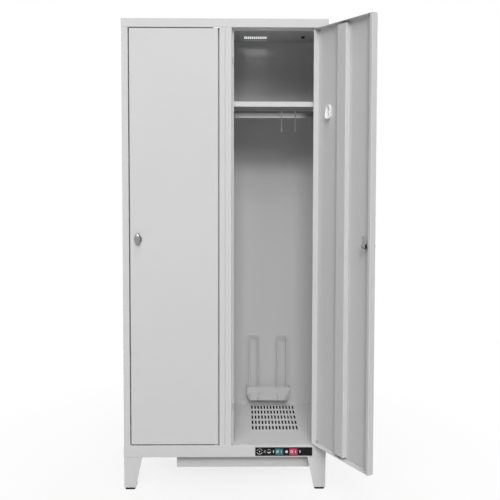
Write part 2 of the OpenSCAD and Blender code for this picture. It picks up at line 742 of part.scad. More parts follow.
// pivots: a small plate on the rail with a pin up into the door's folded edge
pivot_plate_t = 3;
pivot_pin_up = 12;
module pivot_plate() {
    translate([-10, sheet - pivot_inset, 0])
        cube([10 + pivot_edge + door_gap - fit, floor_setback - sheet - fit, pivot_plate_t]);
}
module lower_pivots() color("silver")
    for (side = [LEFT, RIGHT])
        translate([bay_x(side) + hinge_x - pivot_edge, front_y + pivot_inset, base_rail_z]) {
            pivot_plate();
            cylinder(d = pivot_d, h = door_foot_gap + pivot_pin_up, $fn = round_fn);
            cylinder(d = pivot_d + 2, h = door_foot_gap - running, $fn = round_fn);
        }
module upper_pivots() color("silver")
    for (side = [LEFT, RIGHT])
        translate([bay_x(side) + hinge_x - pivot_edge, front_y + pivot_inset, roof_rail_z])
            mirror([0, 0, 1]) {
                pivot_plate();
                cylinder(d = pivot_d, h = door_head_gap + pivot_pin_up, $fn = round_fn);
            }

buffer_h = 25;
module door_buffers() color("gainsboro")
    for (side = [LEFT, RIGHT], f = [0.08, 0.92])
        translate([bay_x(side) + latch_post_w + 1.5, seat_y - door_seat + 0.3, door_z + f * door_h])
            cube([stop_lip - 2, door_seat - 0.3, buffer_h], center = false);

// ---- latches --------------------------------------------------------------------
rose_t = 3;
barrel_end = rabbet + sheet + 1;   // the cam clears the back of the stop lip
cam_t = 3;
module at_latch(side)
    hang(side) translate([-door_w + latch_inset, 0, latch_z]) rotate([-90, 0, 0]) children();

// barrel, rose and nut that clamp the door's skin; z runs into the cabinet here
module latch_barrel(side) color("silver")
    at_latch(side) difference() {
        union() {
            translate([0, 0, -rose_t]) cylinder(d = rose_d, h = rose_t, $fn = round_fn);
            cylinder(d = barrel_d, h = barrel_end - 0.2, $fn = round_fn);
            translate([0, 0, sheet]) cylinder(d = barrel_d + 8, h = 6, $fn = 6);
        }
        translate([0, 0, -rose_t - 1])
            cylinder(d = spindle_d + 2 * running, h = barrel_end + rose_t + 2, $fn = round_fn);
    }
module latch_barrel_left() latch_barrel(LEFT);
module latch_barrel_right() latch_barrel(RIGHT);

// knob: a disc with an upright grip, waisted towards the door, on its spindle
module latch_knob(side) color("silver")
    at_latch(side) {
        translate([0, 0, -rose_t - 0.3]) mirror([0, 0, 1]) {
            cylinder(d1 = rose_d - 3, d2 = rose_d - 7, h = 4, $fn = round_fn);
            linear_extrude(knob_reach - rose_t - 0.3) oval(grip_w - 4, grip_l - 8);
            translate([0, 0, 8]) linear_extrude(knob_reach - rose_t - 0.3 - 10)
                oval(grip_w, grip_l);
            translate([0, 0, knob_reach - rose_t - 2.3]) linear_extrude(2)
                oval(grip_w - 2, grip_l - 2);
        }
        translate([0, 0, -rose_t - 0.3])
            cylinder(d = spindle_d, h = rose_t + 0.3 + barrel_end, $fn = round_fn);
        translate([0, 0, barrel_end]) cylinder(d = spindle_d - 4, h = cam_t + 0.2, $fn = round_fn);
        translate([0, 0, barrel_end + cam_t]) cylinder(d = spindle_d, h = 4, $fn = 6);
    }
module latch_knob_left() latch_knob(LEFT);
module latch_knob_right() latch_knob(RIGHT);

// cam: cranked blade on the spindle's end, upright when the door is free
module latch_cam(side) color("silver")
    at_latch(side) translate([0, 0, barrel_end]) linear_extrude(cam_t) difference() {
        union() {
            circle(d = cam_w + 4, $fn = round_fn);
            translate([-cam_w / 2, -cam_l + cam_w / 2]) square([cam_w, cam_l - cam_w / 2]);
            translate([0, -cam_l + cam_w / 2]) circle(d = cam_w, $fn = round_fn);
        }
        circle(d = spindle_d - 4, $fn = round_fn);
    }
module latch_cam_left() latch_cam(LEFT);
module latch_cam_right() latch_cam(RIGHT);

// ---- heater and fan box -----------------------------------------------------------
fan_y = front_y + grille_y;
function fan_x(side) = side == LEFT ? left_fan_x : grille_x;
fan_box_z = base_z - fan_box_h;
intake_w = 6;
module fan_box() color("lightgray")
    translate([fan_box_x0, front_y + fan_box_y, fan_box_z]) difference() {
        union() {
            cube([fan_box_x1 - fan_box_x0, fan_box_d, fan_box_h]);
            translate([-12, 0, fan_box_h - sheet])
                cube([fan_box_x1 - fan_box_x0 + 24, fan_box_d, sheet]);
        }
        translate([sheet, sheet, sheet])
            cube([fan_box_x1 - fan_box_x0 - 2 * sheet, fan_box_d - 2 * sheet, fan_box_h]);
        // intake slots under each fan
        for (side = [LEFT, RIGHT], i = [-5:5])
            translate([fan_x(side) - fan_box_x0 + i * 2 * intake_w, fan_y - front_y - fan_box_y, -1])
                linear_extrude(sheet + 2)
                    slot_2d(intake_w, 2 * sqrt(pow(fan_w / 2 + 6, 2) - pow(i * 2 * intake_w, 2)));
        translate([gland_x - fan_box_x0, fan_box_d - sheet - 1, fan_box_h / 2]) rotate([-90, 0, 0])
            cylinder(d = gland_d, h = sheet + 2, $fn = round_fn);
    }

motor_d = 42;
motor_h = 8;
shaft_d = 4;
fan_top_z = base_z;
// square frame with a round duct; three arms carry the motor
module fan_frame(side) color("#202020")
    translate([fan_x(side), fan_y, fan_top_z - fan_h]) {
        difference() {
            translate([-fan_w / 2, -fan_w / 2, 0]) linear_extrude(fan_h) plate_2d(fan_w, fan_w, 6);
            translate([0, 0, -1]) cylinder(d = fan_w - 6, h = fan_h + 2, $fn = 64);
            for (x = [-1, 1], y = [-1, 1]) translate([x, y, 0] * (fan_w / 2 - 8) + [0, 0, -1])
                cylinder(d = 4.5, h = fan_h + 2, $fn = wire_fn);
        }
        difference() {
            union() {
                cylinder(d = motor_d, h = motor_h, $fn = round_fn);
                for (a = [30:120:270]) rotate([0, 0, a]) translate([0, -3, 0])
                    cube([fan_w / 2 - 2, 6, 4]);
            }
            translate([0, 0, 2]) cylinder(d = shaft_d + 2 * running, h = motor_h, $fn = round_fn);
        }
    }
module fan_frame_left() fan_frame(LEFT);
module fan_frame_right() fan_frame(RIGHT);

blade_tip = fan_w / 2 - 5;
blade_w = 26;
blade_t = 1.8;
blade_pitch = 38;   // degrees
module fan_rotor(side) color("#282828")
    translate([fan_x(side), fan_y, fan_top_z - fan_h]) {
        translate([0, 0, 2.5]) cylinder(d = shaft_d, h = motor_h, $fn = round_fn);
        translate([0, 0, motor_h + 0.8]) cylinder(d = motor_d - 2, h = fan_h - motor_h - 3, $fn = round_fn);
        intersection() {
            translate([0, 0, motor_h + 0.8]) cylinder(r = blade_tip, h = fan_h - motor_h - 3, $fn = 64);
            for (i = [0:fan_blades - 1]) rotate([0, 0, i * 360 / fan_blades])
                translate([motor_d / 2 - 4, 0, motor_h + (fan_h - motor_h) / 2 - 0.7])
                    rotate([blade_pitch, 0, 0])
                        translate([0, -blade_w / 2, -blade_t / 2])
                            cube([fan_w / 2, blade_w, blade_t]);
        }
    }
module fan_rotor_left() fan_rotor(LEFT);
module fan_rotor_right() fan_rotor(RIGHT);

// black-painted duct round the heater, from the fan's opening up to the grille
grille_half_w = ((slots_across - 1) * slot_pitch + slot_w) / 2;
grille_half_d = ((slot_rows - 1) * row_pitch + slot_l) / 2;
duct_margin = 6;
heater_bend = 27;
heater_tail = 12;   // terminals' end
function grille_at(side) = bay_x(side) + grille_x;
function heater_way(side) = side == LEFT ? -1 : 1;
function heater_reach(way) = heater_l / 2 + (way > 0 ? heater_bend + heater_tube / 2 : heater_tail);
function duct_x0(side) = min(grille_at(side) - grille_half_w,
                             fan_x(side) - heater_reach(-heater_way(side))) - duct_margin;
function duct_x1(side) = max(grille_at(side) + grille_half_w,
                             fan_x(side) + heater_reach(heater_way(side))) + duct_margin;
module air_duct(side) {
    w = duct_x1(side) - duct_x0(side);
    d = 2 * (grille_half_d + duct_margin);
    translate([duct_x0(side), fan_y - d / 2, base_z + sheet]) difference() {
        cube([w, d, base_rail_h - sheet]);
        translate([sheet, sheet, sheet]) cube([w - 2 * sheet, d - 2 * sheet, base_rail_h]);
        translate([fan_x(side) - duct_x0(side), d / 2, -1])
            cylinder(d = fan_w - 10, h = sheet + 2, $fn = round_fn);
    }
}
module air_ducts() color("#202020") for (side = [LEFT, RIGHT]) air_duct(side);

// finned U-shaped element on two feet, over the fan and under the grille
heater_z = base_z + base_rail_h / 2 + 2;
heater_foot = 2;
module heater(side) color("dimgray")
    translate([fan_x(side), fan_y, heater_z]) mirror([side == LEFT ? 1 : 0, 0, 0]) {
        for (s = [-1, 1]) {
            translate([-heater_l / 2 - heater_tail, s * heater_bend, 0]) rotate([0, 90, 0])
                cylinder(d = heater_tube, h = heater_l + heater_tail, $fn = wire_fn);
            for (x = [-heater_l / 2:fin_pitch:heater_l / 2]) translate([x, s * heater_bend, 0])
                rotate([0, 90, 0]) cylinder(d = fin_d, h = 0.8, $fn = wire_fn);
        }
        translate([heater_l / 2, 0, 0]) rotate([0, 0, -90]) rotate_extrude(angle = 180, $fn = round_fn)
            translate([heater_bend, 0]) circle(d = heater_tube, $fn = wire_fn);
        for (x = [-heater_l / 2 - 8, heater_l / 2 + 3])
            translate([x, -heater_bend - 10, base_z + 2 * sheet - heater_z])
                cube([heater_foot, 2 * heater_bend + 20,
                      heater_z - base_z - 2 * sheet + heater_tube / 2]);
    }
module heater_left() heater(LEFT);
module heater_right() heater(RIGHT);

gland_x = 40;
gland_d = 20;
module cable_gland() color("#202020")
    translate([gland_x, front_y + fan_box_y + fan_box_d, fan_box_z + fan_box_h / 2]) rotate([-90, 0, 0])
        difference() {
            union() {
                translate([0, 0, -6]) cylinder(d = gland_d - 0.2, h = 8, $fn = round_fn);
                cylinder(d = gland_d + 7, h = 5, $fn = 6);
                translate([0, 0, 5]) cylinder(d1 = gland_d + 3, d2 = gland_d - 4, h = 12, $fn = round_fn);
                translate([0, 0, -6]) cylinder(d = gland_d + 6, h = 6 - sheet - 0.1, $fn = 6);
            }
            translate([0, 0, -7]) cylinder(d = 9, h = 26, $fn = round_fn);
        }

// ---- controls ---------------------------------------------------------------------
strip_x0 = strip_x1 - strip_w;
strip_z = base_z + (base_rail_h - strip_h) / 2 - 0.5;
function rocker_x(i) = strip_x0 + green_x + i * rocker_pitch;
rocker_z = strip_z + strip_h / 2;
rocker_slack = 0.8;
module rocker_windows() {
    for (i = [0, 1])
        translate([rocker_x(i) - rocker_w / 2 - rocker_slack, front_y - strip_t - 1,
                   rocker_z - rocker_h / 2 - rocker_slack])
            cube([rocker_w + 2 * rocker_slack, strip_t + 2 * sheet + 1, rocker_h + 2 * rocker_slack]);
}
lamp_x = strip_x0 + green_x + rocker_pitch / 2;
module control_strip() color("#141414")
    difference() {
        translate([strip_x0, front_y, strip_z]) rotate([90, 0, 0])
            linear_extrude(strip_t) plate_2d(strip_w, strip_h, 2);
        rocker_windows();
        translate([lamp_x, front_y + 1, rocker_z]) rotate([90, 0, 0])
            cylinder(d = lamp_d - 3 + 0.1, h = strip_t + 2, $fn = round_fn);
    }

module indicator_lamp() color("white")
    translate([lamp_x, front_y, rocker_z]) rotate([90, 0, 0]) {
        cylinder(d = lamp_d - 3, h = strip_t, $fn = round_fn);
        translate([0, 0, strip_t]) intersection() {
            cylinder(d = lamp_d, h = 3, $fn = round_fn);
            translate([0, 0, 3 - lamp_d]) sphere(d = 2 * lamp_d, $fn = round_fn);
        }
    }

// rocker: a paddle with a shallow V face on an upright pin, drawn tipped to "off"
rocker_depth = 9;
rocker_pin_d = 4;
rocker_pin_y = 9;
rocker_proud = 2.2;
module rocker(i)
    translate([rocker_x(i), front_y - strip_t + rocker_pin_y - rocker_proud, rocker_z])
        rotate([0, 0, -rocker_tip / 2]) {
            difference() {
                translate([0, 0, -rocker_h / 2]) linear_extrude(rocker_h)
                    polygon([[-rocker_w / 2, -rocker_pin_y], [0, -rocker_pin_y + 1.6],
                             [rocker_w / 2, -rocker_pin_y], [rocker_w / 2 - 1.5, -rocker_pin_y + 5],
                             [5, rocker_depth - rocker_pin_y + 4], [-5, rocker_depth - rocker_pin_y + 4],
                             [-rocker_w / 2 + 1.5, -rocker_pin_y + 5]]);
                cylinder(d = rocker_pin_d + 2 * running, h = 2 * rocker_h, center = true, $fn = wire_fn);
            }
        }
module green_rocker() color("#008080") rocker(0);
module red_rocker() color("#d02050") rocker(1);

// housing behind the strip: switch bodies with their pins, the timer and terminals
box_x0 = 8;
box_d = 46;
box_h = base_rail_h - 2 * (sheet + corner);
switch_d = 18;   // depth of the wells that the rockers tip in
module control_box() color("#303030")
    union() {
        difference() {
            translate([strip_x0 + box_x0, front_y + sheet, base_z + sheet + corner])
                cube([strip_w - 2 * box_x0, box_d, box_h]);
            for (i = [0, 1])
                translate([rocker_x(i) - rocker_w / 2 - rocker_slack, front_y + sheet - 1,
                           rocker_z - rocker_h / 2 - rocker_slack])
                    cube([rocker_w + 2 * rocker_slack, switch_d, rocker_h + 2 * rocker_slack]);
        }
        for (i = [0, 1])
            translate([rocker_x(i), front_y - strip_t + rocker_pin_y - rocker_proud,
                       base_z + sheet + corner])
                cylinder(d = rocker_pin_d, h = box_h, $fn = wire_fn);
    }

base_pan();
side_left();
side_right();
partition_left();
partition_right();
back_wall();
roof();
floor_left();
floor_right();
shelf_left();
shelf_right();
shelf_brackets();
hanging_rail_left();
hanging_rail_right();
rail_sockets();
leg_front_left();
leg_front_right();
leg_back_left();
leg_back_right();
glides();
boot_bracket_left();
boot_bracket_right();
boot_loops_left();
boot_loops_right();
vent_frame_left();
vent_frame_right();
overheat_sensors();
lower_pivots();
upper_pivots();
door_buffers();
fan_box();
fan_frame_left();
fan_frame_right();
fan_rotor_left();
fan_rotor_right();
heater_left();
heater_right();
control_box();
control_strip();
indicator_lamp();
cable_gland();
green_rocker();
red_rocker();
door_left();
door_right();
stiffener_left();
stiffener_right();
coat_hook_left();
coat_hook_right();
latch_barrel_left();
latch_barrel_right();
latch_knob_left();
latch_knob_right();
latch_cam_left();
latch_cam_right();
rail_hook_1();
rail_hook_2();
rail_hook_3();
rail_hook_4();
air_ducts();
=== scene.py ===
import json
import math

import bmesh
import bpy
import numpy as np
from mathutils import Matrix, Vector


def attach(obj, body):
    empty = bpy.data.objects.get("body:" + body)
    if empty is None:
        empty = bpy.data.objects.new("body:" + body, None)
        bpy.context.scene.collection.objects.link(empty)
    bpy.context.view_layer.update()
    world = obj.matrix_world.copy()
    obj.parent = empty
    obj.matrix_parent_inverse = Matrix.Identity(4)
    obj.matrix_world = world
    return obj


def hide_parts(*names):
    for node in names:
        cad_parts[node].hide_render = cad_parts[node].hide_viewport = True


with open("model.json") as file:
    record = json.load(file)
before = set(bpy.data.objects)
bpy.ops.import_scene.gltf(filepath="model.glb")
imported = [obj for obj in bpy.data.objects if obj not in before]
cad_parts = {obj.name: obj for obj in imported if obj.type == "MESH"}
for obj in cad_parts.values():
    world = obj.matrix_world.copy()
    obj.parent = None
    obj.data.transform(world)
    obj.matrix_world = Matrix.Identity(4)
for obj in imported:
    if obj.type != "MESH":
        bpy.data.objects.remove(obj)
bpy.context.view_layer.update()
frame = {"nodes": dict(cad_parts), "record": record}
scene = bpy.context.scene

# ---- the photograph's camera -----------------------------------------------------------
# The lens stands level with the upper third of the doors, a little to the right of the
# middle, and looks slightly down. Its shift keeps the uprights nearly parallel.
FOCAL_PX, CENTRE_ROW, IMAGE_PX, SENSOR = 706.94, 205.0, 500.0, 36.0
YAW, PITCH, ROLL = -0.0114, -0.0501, 0.0019
lens = bpy.data.cameras.new("photo_camera")
lens.sensor_width = SENSOR
lens.lens = FOCAL_PX / IMAGE_PX * SENSOR
lens.shift_y = (CENTRE_ROW - IMAGE_PX / 2) / IMAGE_PX
lens.clip_end = 100.0
camera = bpy.data.objects.new("photo_camera", lens)
scene.collection.objects.link(camera)
heading = Matrix.Rotation(YAW, 3, "Z")
ahead = heading @ Vector((0, math.cos(PITCH), math.sin(PITCH)))
upright = heading @ Vector((0, -math.sin(PITCH), math.cos(PITCH)))
across = heading @ Vector((1, 0, 0))
right = across * math.cos(ROLL) + upright * math.sin(ROLL)
upright = upright * math.cos(ROLL) - across * math.sin(ROLL)
turned_to = Matrix((right, upright, -ahead)).transposed().to_4x4()
camera.matrix_world = Matrix.Translation((0.06607, -2.99883, 1.26977)) @ turned_to
scene.camera = camera
scene.view_settings.view_transform = "Standard"
scene.view_settings.look = "None"

# ---- studio ----------------------------------------------------------------------------
# Softboxes stand high in front of the cabinet in a white room with a pale floor. Metal
# and lenses see the same white room as the camera does.


def softbox(name, at, aim, size, power):
    """Rectangular light of size (width, height) in metres at a point, aimed at another."""
    data = bpy.data.lights.new(name, "AREA")
    data.shape, data.size, data.size_y = "RECTANGLE", size[0], size[1]
    data.energy = power
    light = bpy.data.objects.new(name, data)
    light.location = at
    light.rotation_euler = (Vector(aim) - Vector(at)).to_track_quat("-Z", "Y").to_euler()
    scene.collection.objects.link(light)


ROOM = 0.0  # the room itself gives no light, only what metal and lenses show of it
SUBJECT = (0.0, 0.0, 1.0)
softbox("key", (0.0, -8.4, 5.8), SUBJECT, (2.0, 1.4), 222)
softbox("upper", (0.0, -8.4, 8.2), SUBJECT, (2.0, 1.6), 155)
softbox("top", (0.0, -8.4, 13.0), SUBJECT, (6.0, 4.5), 250)
softbox("overhead", (0.0, -4.2, 12.5), SUBJECT, (3.0, 2.5), 300)
softbox("right", (2.2, -8.1, 4.8), SUBJECT, (4.2, 2.0), 182)
softbox("left", (-3.4, -7.7, 5.1), SUBJECT, (2.6, 2.0), 138)
softbox("behind_left", (-4.5, 7.0, 4.5), SUBJECT, (3.0, 3.0), 330)
softbox("behind_right", (4.5, 7.0, 4.5), SUBJECT, (3.0, 3.0), 330)


def shown_white(tree, plain, white, output, share=1.0):
    """Gives the output the white shader for camera, glossy and transmitted rays, at a
    share that a number or a socket sets, and the plain one for the light on things."""
    path = tree.nodes.new("ShaderNodeLightPath")
    kinds = [path.outputs[kind] for kind in ("Is Camera Ray", "Is Glossy Ray", "Is Transmission Ray")]
    total = kinds[0]
    for kind in kinds[1:]:
        either = tree.nodes.new("ShaderNodeMath")
        either.operation = "MAXIMUM"
        tree.links.new(total, either.inputs[0])
        tree.links.new(kind, either.inputs[1])
        total = either.outputs[0]
    part = tree.nodes.new("ShaderNodeMath")
    part.operation = "MULTIPLY"
    if isinstance(share, float):
        part.inputs[1].default_value = share
    else:
        tree.links.new(share, part.inputs[1])
    tree.links.new(total, part.inputs[0])
    mix = tree.nodes.new("ShaderNodeMixShader")
    tree.links.new(part.outputs[0], mix.inputs[0])
    tree.links.new(plain, mix.inputs[1])
    tree.links.new(white, mix.inputs[2])
    tree.links.new(mix.outputs[0], output)


world = bpy.data.worlds.new("studio")
scene.world = world
world.use_nodes = True
sky = world.node_tree
sky.nodes.clear()
room = sky.nodes.new("ShaderNodeBackground")
room.inputs["Color"].default_value = (1.0, 1.0, 1.0, 1)
room.inputs["Strength"].default_value = ROOM
page = sky.nodes.new("ShaderNodeBackground")
page.inputs["Color"].default_value = (1.0, 1.0, 1.0, 1)
page.inputs["Strength"].default_value = 1.0
shown_white(sky, room.outputs[0], page.outputs[0],
            sky.nodes.new("ShaderNodeOutputWorld").inputs["Surface"])

floor_mesh = bpy.data.meshes.new("studio_floor")
floor_mesh.from_pydata([(-30, -30, 0), (30, -30, 0), (30, 30, 0), (-30, 30, 0)], [], [(0, 1, 2, 3)])
floor = bpy.data.objects.new("studio_floor", floor_mesh)
scene.collection.objects.link(floor)
pale = bpy.data.materials.new("pale_floor")
pale.use_nodes = True
ground = pale.node_tree
matt = ground.nodes["Principled BSDF"]
matt.inputs["Base Color"].default_value = (0.62, 0.62, 0.62, 1)
matt.inputs["Roughness"].default_value = 0.9
white = ground.nodes.new("ShaderNodeEmission")
# near the feet the floor shows a share of itself, and with it the cabinet's shadow
SHADOW_SHARE, FADE_PER_METRE = 0.2, 0.7
place = ground.nodes.new("ShaderNodeMapping")
place.inputs["Scale"].default_value = (FADE_PER_METRE,) * 3
ground.links.new(ground.nodes.new("ShaderNodeTexCoord").outputs["Object"], place.inputs["Vector"])
near = ground.nodes.new("ShaderNodeTexGradient")
near.gradient_type = "SPHERICAL"
ground.links.new(place.outputs[0], near.inputs[0])
fade = ground.nodes.new("ShaderNodeMath")
fade.operation = "MULTIPLY_ADD"
fade.inputs[1].default_value, fade.inputs[2].default_value = -SHADOW_SHARE, 1.0
ground.links.new(near.outputs["Fac"], fade.inputs[0])
shown_white(ground, matt.outputs[0], white.outputs[0],
            ground.nodes["Material Output"].inputs["Surface"], fade.outputs[0])
floor_mesh.materials.append(pale)

# ---- folded body, shelves, legs and doors: light grey powder coat ----------------------
# Folded 1 mm sheet, electrically charged powder baked on: a satin coat with fine orange
# peel. The back wall and the roof are fixed with blind rivets in the same colour.


def finish(name, colour, rough, metal=0.0, shade=0.04, patch=6.0, grain=900.0, depth=0.00004,
           play=0.06, stretch=(1, 1, 1), coat=0.0, clear=0.0, peel=0.0, sheen=0.5):
    """Procedural finish. colour is linear and varies by shade over patches of 1/patch
    metres; grain is the bump's scale per metre and depth its height in metres; peel adds
    the slow ripple of sprayed powder; stretch draws the pattern out along an axis."""
    mat = bpy.data.materials.new(name)
    mat.use_nodes = True
    tree = mat.node_tree
    add, link = tree.nodes.new, tree.links.new
    shader = tree.nodes["Principled BSDF"]
    shader.inputs["Metallic"].default_value = metal
    shader.inputs["Specular IOR Level"].default_value = sheen
    if coat:
        shader.inputs["Coat Weight"].default_value = coat
        shader.inputs["Coat Roughness"].default_value = 0.12
    if clear:
        shader.inputs["Transmission Weight"].default_value = clear
    place = add("ShaderNodeTexCoord")
    scale = add("ShaderNodeMapping")
    scale.inputs["Scale"].default_value = stretch
    link(place.outputs["Object"], scale.inputs["Vector"])
    cloud = add("ShaderNodeTexNoise")
    cloud.inputs["Scale"].default_value = patch
    cloud.inputs["Detail"].default_value = 3.0
    link(scale.outputs[0], cloud.inputs["Vector"])
    tint = add("ShaderNodeValToRGB")
    low, high = tint.color_ramp.elements
    low.position, high.position = 0.3, 0.7
    low.color = tuple(c * (1 - shade) for c in colour) + (1,)
    high.color = tuple(min(c * (1 + shade), 1.0) for c in colour) + (1,)
    link(cloud.outputs["Fac"], tint.inputs["Fac"])
    link(tint.outputs["Color"], shader.inputs["Base Color"])
    fine = add("ShaderNodeTexNoise")
    fine.inputs["Scale"].default_value = grain
    fine.inputs["Detail"].default_value = 2.0
    link(scale.outputs[0], fine.inputs["Vector"])
    gloss = add("ShaderNodeMapRange")
    gloss.inputs["To Min"].default_value = max(rough - play, 0.02)
    gloss.inputs["To Max"].default_value = min(rough + play, 1.0)
    link(fine.outputs["Fac"], gloss.inputs["Value"])
    link(gloss.outputs["Result"], shader.inputs["Roughness"])
    bump = add("ShaderNodeBump")
    bump.inputs["Strength"].default_value = 0.6
    bump.inputs["Distance"].default_value = depth
    link(fine.outputs["Fac"], bump.inputs["Height"])
    last = bump
    if peel:
        ripple = add("ShaderNodeTexNoise")
        ripple.inputs["Scale"].default_value = 260.0
        ripple.inputs["Detail"].default_value = 0.0
        link(place.outputs["Object"], ripple.inputs["Vector"])
        last = add("ShaderNodeBump")
        last.inputs["Strength"].default_value = 0.5
        last.inputs["Distance"].default_value = peel
        link(ripple.outputs["Fac"], last.inputs["Height"])
        link(bump.outputs["Normal"], last.inputs["Normal"])
    link(last.outputs["Normal"], shader.inputs["Normal"])
    return mat


def dress(slot, look):
    """Gives a finish to every solid that the record puts in a material slot."""
    for row in frame["record"]["subparts"]:
        if row["material_slot"] == slot:
            node = frame["nodes"][row["node"]]
            node.data.materials.clear()
            node.data.materials.append(look)


def skin(grid, round_=True, ends=True):
    """Four-sided faces between the neighbouring points of an n x m grid of points. round_
    joins the last point of each row to its first, and ends closes the two end rows."""
    n, m = grid.shape[:2]
    i, j = np.meshgrid(np.arange(n - 1), np.arange(m if round_ else m - 1), indexing="ij")
    k = (j + 1) % m
    faces = np.stack([i * m + j, i * m + k, (i + 1) * m + k, (i + 1) * m + j], -1).reshape(-1, 4)
    faces = faces.tolist()
    if ends:
        faces += [list(range(m)), list(range((n - 1) * m, n * m))]
    return grid.reshape(-1, 3), faces


def lathe(profile, at, way, sides=24, start=0.0):
    """Profile of (radius, height) carried round an axis: point = at + radius * (cos a * u
    + sin a * v) + height * way, where u and v are square to way."""
    w = np.array(way, float) / np.linalg.norm(way)
    u = np.cross(w, (0, 0, 1) if abs(w[2]) < 0.9 else (1, 0, 0))
    u /= np.linalg.norm(u)
    v = np.cross(w, u)
    a = start + np.arange(sides) * 2 * np.pi / sides
    ring = np.cos(a)[:, None] * u + np.sin(a)[:, None] * v
    r, h = np.array(profile, float).T
    return skin(np.array(at, float) + r[:, None, None] * ring[None] + h[:, None, None] * w)


def piece(name, body, shapes, look, place=None, sharp=35.0):
    """New piece from shapes in millimetres, each (points, faces), through a place matrix.
    It rides on a body, and creases sharper than an angle stay sharp."""
    points, faces = [], []
    for p, f in shapes:
        first = sum(len(q) for q in points)
        points.append(np.asarray(p, float))
        faces += [[first + i for i in face] for face in f]
    mesh = bpy.data.meshes.new(name)
    mesh.from_pydata((np.concatenate(points) * 0.001).tolist(), [], faces)
    if place is not None:
        mesh.transform(place)
    mesh.materials.append(look)
    tidy = bmesh.new()
    tidy.from_mesh(mesh)
    bmesh.ops.remove_doubles(tidy, verts=tidy.verts, dist=0.000001)
    bmesh.ops.recalc_face_normals(tidy, faces=tidy.faces)
    tidy.to_mesh(mesh)
    tidy.free()
    mesh.polygons.foreach_set("use_smooth", [True] * len(mesh.polygons))
    mesh.set_sharp_from_angle(angle=math.radians(sharp))
    made = bpy.data.objects.new(name, mesh)
    scene.collection.objects.link(made)
    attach(made, body)
    return made


powder = finish("grey_enamel", (0.60, 0.60, 0.602), 0.42, shade=0.012, patch=2.0, grain=700,
                depth=0.00005, peel=0.00003, sheen=0.06)
dress("grey_enamel", powder)

# domed head with the hollow that the broken pin leaves
# radius, height off the sheet
RIVET = [(3.2, -0.2), (3.2, 0.15), (2.9, 0.5), (2.1, 0.85), (1.2, 0.95), (0.9, 0.9), (0.8, 0.5), (0.05, 0.45)]
WALL_Y, SEAM_Y, SIDE_X = 249, 250, 400
BASE_SEAM, ROOF_SEAM = 146, 1832
UPRIGHTS = (-391, -8, 8, 391)


def rivet(at, way):
    """One blind rivet's head on a face that looks along way."""
    return lathe(RIVET, at, way, 14)


rivets = [rivet((x, WALL_Y, z), (0, 1, 0)) for x in UPRIGHTS for z in range(170, 1821, 110)]
rivets += [rivet((x, SEAM_Y, z), (0, 1, 0)) for x in range(-360, 361, 120) for z in (BASE_SEAM, ROOF_SEAM)]
rivets += [rivet((s * SIDE_X, y, z), (s, 0, 0))
           for s in (-1, 1) for y in (-200, -70, 70, 200) for z in (BASE_SEAM + 1, ROOF_SEAM)]
piece("blind_rivets", "cabinet", rivets, powder)

# snap-in plugs close the two wall-fixing holes until they are wanted
# radius, height off the back wall
PLUG = [(0.05, -1.2), (5.2, -1.2), (6.4, -0.9), (6.8, -0.2), (6.8, 0.0), (4.4, 0.0), (4.4, 1.3), (3.6, 1.8),
        (0.05, 1.8)]
WALL_HOLE_X, WALL_HOLE_Y, WALL_HOLE_Z = 365, 248, 1780
plugs = [lathe(PLUG, (s * WALL_HOLE_X, WALL_HOLE_Y, WALL_HOLE_Z), (0, 1, 0), 24) for s in (-1, 1)]
piece("wall_hole_plugs", "cabinet", plugs, powder)

# ---- roof vents ------------------------------------------------------------------------
# The shallow tray under each vent's slots is left in bare galvanised sheet, with its faint
# spangle.
spangle = finish("galvanised", (0.66, 0.67, 0.68), 0.45, metal=0.25, shade=0.07, patch=45, grain=1200)
for side in ("left", "right"):
    tray = frame["nodes"][f"vent_frame_{side}"]
    tray.data.materials.clear()
    tray.data.materials.append(spangle)

# ---- shelf brackets, pivots and latch cams: zinc-plated steel --------------------------
# Punched and bent from strip, then plated: a fine drawn grain with slight clouding.
zinc = finish("zinc_steel", (0.45, 0.46, 0.47), 0.42, metal=0.75, shade=0.1, patch=60,
              grain=1500, stretch=(1, 1, 0.12))
dress("zinc_steel", zinc)

# ---- hanging rails and their hooks -----------------------------------------------------
# Oval chromed tube in two sockets, with bent wire hooks that slide along it.
chrome = finish("chrome", (0.44, 0.44, 0.445), 0.22, metal=1.0, shade=0.03, patch=150, grain=2500,
                depth=0.00001, play=0.03)
dress("chrome", chrome)
dress("wire_steel", finish("wire_steel", (0.9, 0.9, 0.9), 0.3, metal=0.2, shade=0.08, patch=90,
                           grain=2200))

# ---- boot racks ------------------------------------------------------------------------
# Folded bracket with two bent wire loops, both coated white.
dress("white_enamel", finish("white_enamel", (0.585, 0.585, 0.585), 0.4, shade=0.012, patch=5.0,
                             grain=800, peel=0.00003, sheen=0.25))

# ---- doors -----------------------------------------------------------------------------
# A folded pan with a hat-shaped stiffener down its middle, hung on two pins. The points of
# a door's pieces are given as if it were shut: hinged edge x = 0, face y = 0, foot z = 0.
HINGE_X, DOOR_FOOT, FACE_Y = 373.5, 184.0, -250.0
PIN_EDGE, PIN_INSET = 9.0, 4.0


def hung(side):
    """Place matrix from a shut door's own axes, in metres, to the frame."""
    x = HINGE_X + (0.0 if side == "right" else -400.0)
    turn = math.radians(120.0 if side == "right" else 0.0)
    pin = Matrix.Translation(Vector((x - PIN_EDGE, FACE_Y + PIN_INSET, DOOR_FOOT)) * 0.001)
    inset = Matrix.Translation(Vector((PIN_EDGE, -PIN_INSET, 0)) * 0.001)
    return pin @ Matrix.Rotation(turn, 4, "Z") @ inset


dress("rubber", finish("rubber", (0.5, 0.5, 0.49), 0.75, shade=0.1, patch=120, grain=2600))

